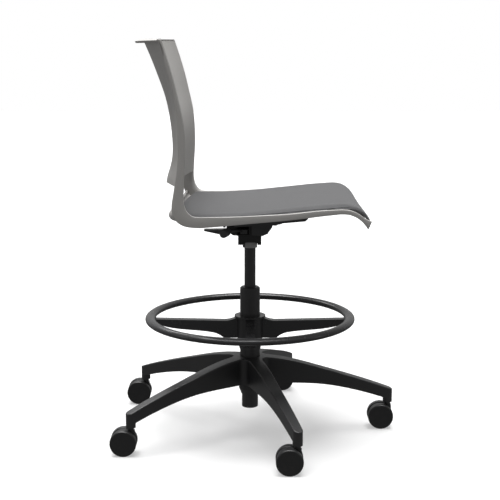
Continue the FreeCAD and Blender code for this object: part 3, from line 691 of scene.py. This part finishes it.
def pad_top_line(x):
    """Crown line of the pad: rolled down at the rear, a slight hollow, and a steep band at the side."""
    share = abs(x) / PAD_HALF_WIDTH
    outside = clamp((abs(x) - PAD_BAND_START + PAD_BAND_BLEND)
                    / (PAD_HALF_WIDTH - PAD_BAND_START + PAD_BAND_BLEND), 0.0, 1.0)
    hollow = PAD_HOLLOW * math.cos(min(abs(x) / PAD_BAND_START, 1.0) * math.pi / 2) ** 0.8
    rear = PAD_REAR_Y - PAD_REAR_CURVE * share ** 2
    foot = PAD_FOOT_Z + PAD_FOOT_RISE * share ** 2
    line = [(rear, foot), (rear - 3.0, foot + 6.5 - 2 * outside), (rear - 20.0, 577.0 - 3.0 * outside)]
    for y, z in PAD_RIDGE:
        fade = 1.0 - clamp((NOSE_FADE_START - y) / NOSE_FADE_LENGTH, 0.0, 1.0)
        rearward = clamp((y + BAND_CHANGE_LENGTH) / BAND_CHANGE_LENGTH, 0.0, 1.0)
        band = lerp(BAND_DEPTH_FRONT, BAND_DEPTH_REAR, rearward)
        line.append((y, z - (band * outside ** 1.4 + hollow) * fade))
    return line


def pad_stations():
    """Positions across the pad, closer together over the side bands."""
    inner = [-200.0 + 400.0 * i / 40 for i in range(41)]
    edge = [205.0, 210.0, 214.0, 217.0, 220.0, 223.0, 226.0, 229.0, PAD_HALF_WIDTH]
    return [-x for x in reversed(edge)] + inner + edge


def pad_block(name):
    """The pad's closed form before it is filled."""
    rings = []
    for x in pad_stations():
        top = curve_points(pad_top_line(x), 70)
        under = offset_line(shell_line(x), -SHELL_THICKNESS - PAD_CLEARANCE)[6:]
        low = curve_points([(top[0][0] - 1.0, top[0][1] - 3.0)] + under, 70)
        rings.append([(x, y, z) for y, z in top] + [(x, y, z) for y, z in reversed(low)])
    return loft(name, rings, LOOKS["pad_fabric"])


def upward_share(normal):
    """How freely the cover lifts at a point: fully on top, not at all underneath."""
    return smooth_step((normal.z + 0.15) / 0.6)


def fill_pad(piece, pressure=4.0, most_mm=3.6, frames=20):
    """Blow the cover up like a filled cushion, held to the seat underneath, then round it off once."""
    remesh = piece.modifiers.new("even", "REMESH")
    remesh.mode = "VOXEL"
    remesh.voxel_size = 0.005
    apply_modifiers(piece)
    before = [v.co.copy() for v in piece.data.vertices]
    lift = [upward_share(v.normal) for v in piece.data.vertices]
    cover = piece.modifiers.new("cover", "CLOTH")
    cover.settings.use_pressure = True
    cover.settings.uniform_pressure_force = pressure
    cover.settings.effector_weights.gravity = 0.0
    cover.settings.quality = 5
    cover.point_cache.frame_end = frames
    for number in range(1, frames + 1):
        bpy.context.scene.frame_set(number)
    apply_modifiers(piece)
    bpy.context.scene.frame_set(1)
    for vertex, start, share in zip(piece.data.vertices, before, lift):
        move = vertex.co - start
        if move.length > most_mm / 1000.0:
            move = move.normalized() * (most_mm / 1000.0)
        vertex.co = start + move * share
    smooth = piece.modifiers.new("soft", "SMOOTH")
    smooth.iterations = 3
    rounder = piece.modifiers.new("round", "SUBSURF")
    rounder.levels = 1
    rounder.render_levels = 1
    apply_modifiers(piece)
    shade_smooth(piece, 60.0)


place(pad_block("upholstered_pad"), "seat", "pad_fabric", "seat_pad", "cushion_board")
fill_pad(bpy.data.objects["upholstered_pad"])


def seam_with_painted_shade(name, side):
    """Sewn seam between the pad's top panel and side band, just in the cover's surface; its darker fabric is
    painted crease shade.
    """
    pad = bpy.data.objects["upholstered_pad"]
    path = []
    for k in range(90):
        above = to_metres((side * SEAM_X, SEAM_REAR - SEAM_STEP * k, 700.0))
        found, hit, _, _ = pad.ray_cast(above, Vector((0.0, 0.0, -1.0)))
        if found and hit.z * 1000.0 > SEAM_LOWEST:
            path.append(hit * 1000.0 - Vector((0.0, 0.0, SEAM_SINK)))
    for _ in range(3):
        path = [path[0]] + [(a + b + c) / 3.0 for a, b, c in zip(path, path[1:], path[2:])] + [path[-1]]
    return tube(name, path, SEAM_RADIUS, LOOKS["seam_with_painted_shade"], steps=8)


for side, name in ((1, "left"), (-1, "right")):
    place(seam_with_painted_shade("seam_with_painted_shade_" + name, side), "seat", "pad_fabric")


# ------------------------------------------------------------------ back
FRONT_EDGE = [(150.5, 631), (149, 659), (146.8, 700), (146.3, 745), (151, 797), (160.3, 841), (170.5, 885),
              (183, 929), (196.2, 972)]
REAR_EDGE = [(163.3, 707), (163, 752), (164.5, 797), (169, 841), (179, 885), (190.5, 929), (203.5, 971.5)]
TAIL_AT_RAIL = [(169.8, 645), (168.5, 659), (166.3, 678)]
TAIL_AT_MIDDLE = [(203.8, 645), (201.5, 659), (194, 672)]
TAIL_DROPS = (1.0, 1.0, 0.0)


def hollow_depth(z):
    """Depth of the back's hollow across its width, growing steadily above the waist."""
    over = z - BACK_WAIST_Z
    return BACK_HOLLOW + BACK_HOLLOW_GROWTH * (over + math.hypot(over, BACK_WAIST_BLEND)) / 2


def plan_curve(x):
    """1 at the middle of the back and 0 at the uprights."""
    return 1.0 - (abs(x) / RAIL_INNER) ** 2


def back_stations(count=49):
    return [-RAIL_INNER + 2 * RAIL_INNER * i / (count - 1) for i in range(count)]


def back_front_skin():
    """Front of the back, from upright to upright, hollowed across its width."""
    rings = []
    for x in back_stations():
        line = curve_points([(y + hollow_depth(z) * plan_curve(x), z) for y, z in FRONT_EDGE], 60)
        rings.append(strip_ring(x, line, offset_line(line, -BACK_SKIN)))
    return loft("back_front_skin", rings, LOOKS["back_front"])


def back_rear_skin():
    """Rear of the back, flaring out into a tail along its lower edge."""
    rings = []
    for x in back_stations():
        curve = plan_curve(x)
        sweep = TAIL_SWEEP * (1.0 - way_out(x, TAIL_BLUNTNESS)) ** 2
        line = [(lerp(side[0], middle[0], curve), lerp(side[1], middle[1], curve) - drop * sweep)
                for side, middle, drop in zip(TAIL_AT_RAIL, TAIL_AT_MIDDLE, TAIL_DROPS)]
        line += [(y + hollow_depth(z) * curve, z) for y, z in REAR_EDGE]
        line = curve_points(line, 60)
        rings.append(strip_ring(x, line, offset_line(line, BACK_SKIN)))
    return loft("back_rear_skin", rings, LOOKS["grey_shell"])


def back_top_lip():
    """Roll along the top that joins the two skins and overhangs the rear."""
    rings = []
    for x in back_stations(61):
        curve = plan_curve(x)
        front = LIP_FRONT_Y + LIP_BOW * curve
        reach = LIP_END_REACH + LIP_EXTRA_REACH * min(1.0, 3.0 * (1 - abs(x) / LIP_HALF_WIDTH)) ** 0.5
        upper = [(front, LIP_TOP_Z), (front + reach * 0.5, LIP_TOP_Z - 0.5),
                 (front + reach, LIP_REAR_Z + 2 * (1 - curve))]
        upper = curve_points(upper, 14)
        rings.append(strip_ring(x, upper, offset_line(upper, -LIP_THICKNESS)))
    return loft("back_top_roll", rings, LOOKS["grey_shell"])


place(back_front_skin(), "seat", "back_front", "back_panel")
place(back_rear_skin(), "seat", "grey_shell", "back_shell")
place(back_top_lip(), "seat", "grey_shell", "top_lip")


# ------------------------------------------------------------------ camera, floor and light
CAMERA_PLACE = (-2.8567, 0.0, 0.9642)
CAMERA_PITCH = 10.04
CAMERA_LENS = 83.78
FLOOR_REACH = 14.0
ROOM_LEVEL = 0.215
UPPER_LEVEL = 0.06
FAR_LEVEL = 0.35
HORIZON = (-0.04, 0.14)
TOP_LIGHT_POWER = 5.8
TOP_LIGHT_SPREAD = 48.0
TOP_LIGHT_AIM = (-0.06, -0.05, -1.0)


def add_camera():
    """Long lens at the side of the chair, with the seat facing right."""
    data = bpy.data.cameras.new("camera")
    camera = bpy.data.objects.new("camera", data)
    bpy.context.scene.collection.objects.link(camera)
    data.lens = CAMERA_LENS
    data.sensor_width = 36.0
    data.clip_end = 60.0
    camera.location = CAMERA_PLACE
    camera.rotation_euler = (math.radians(90.0 - CAMERA_PITCH), 0.0, math.radians(-90.0))
    bpy.context.scene.camera = camera


def add_floor():
    """A pale, flat floor, wide enough to fill every view, that throws no light back at the chair."""
    mesh = bpy.data.meshes.new("floor")
    corners = [(x * FLOOR_REACH, y * FLOOR_REACH, 0) for x, y in ((-1, -1), (1, -1), (1, 1), (-1, 1))]
    mesh.from_pydata(corners, [], [(0, 1, 2, 3)])
    floor = bpy.data.objects.new("floor", mesh)
    bpy.context.scene.collection.objects.link(floor)
    mesh.materials.append(pale_floor("floor_look"))
    floor.visible_diffuse = False
    floor.visible_glossy = False


def area_light(name, location, target, size, power):
    data = bpy.data.lights.new(name, "AREA")
    data.shape = "RECTANGLE"
    data.size, data.size_y = size
    data.energy = power
    lamp = bpy.data.objects.new(name, data)
    bpy.context.scene.collection.objects.link(lamp)
    lamp.location = location
    aim = Vector(target) - Vector(location)
    lamp.rotation_euler = aim.to_track_quat("-Z", "Y").to_euler()


def add_light():
    """White studio: a dim room, brighter above the horizon and to the far side, and one broad top light."""
    world = bpy.data.worlds.new("studio")
    bpy.context.scene.world = world
    world.use_nodes = True
    tree = world.node_tree

    def joined(operation, a, b):
        made = tree.nodes.new("ShaderNodeMath")
        made.operation = operation
        for socket, value in zip(made.inputs, (a, b)):
            if isinstance(value, float):
                socket.default_value = value
            else:
                tree.links.new(value, socket)
        return made.outputs["Value"]

    background = tree.nodes["Background"]
    background.inputs["Color"].default_value = (1.0, 1.0, 1.0, 1.0)
    split = tree.nodes.new("ShaderNodeSeparateXYZ")
    tree.links.new(tree.nodes.new("ShaderNodeTexCoord").outputs["Generated"], split.inputs["Vector"])
    horizon = tree.nodes.new("ShaderNodeMapRange")
    horizon.inputs["From Min"].default_value, horizon.inputs["From Max"].default_value = HORIZON
    tree.links.new(split.outputs["Z"], horizon.inputs["Value"])
    far = joined("MAXIMUM", split.outputs["X"], 0.0)
    far = joined("MULTIPLY", joined("MULTIPLY", far, far), FAR_LEVEL)
    upper = joined("ADD", far, UPPER_LEVEL)
    level = joined("ADD", joined("MULTIPLY", upper, horizon.outputs["Result"]), ROOM_LEVEL)
    seen = tree.nodes.new("ShaderNodeMix")
    tree.links.new(tree.nodes.new("ShaderNodeLightPath").outputs["Is Camera Ray"], seen.inputs[0])
    tree.links.new(level, seen.inputs[2])
    seen.inputs[3].default_value = 1.0
    tree.links.new(seen.outputs[0], background.inputs["Strength"])
    sky = bpy.data.lights.new("top_light", "SUN")
    sky.energy = TOP_LIGHT_POWER
    sky.angle = math.radians(TOP_LIGHT_SPREAD)
    lamp = bpy.data.objects.new("top_light", sky)
    bpy.context.scene.collection.objects.link(lamp)
    lamp.rotation_euler = Vector(TOP_LIGHT_AIM).to_track_quat("-Z", "Y").to_euler()
    area_light("far_softbox", (2.2, 1.2, 2.4), (0, 0, 0.2), (0.8, 0.6), 9)
    area_light("rear_strip", (-0.9, 3.4, 0.9), (0, 0, 0.5), (0.4, 1.4), 4)
    area_light("front_strip", (-0.9, -3.4, 0.9), (0, 0, 0.5), (0.4, 1.4), 4)


add_camera()
add_floor()
add_light()
bpy.context.scene.view_settings.view_transform = "Standard"
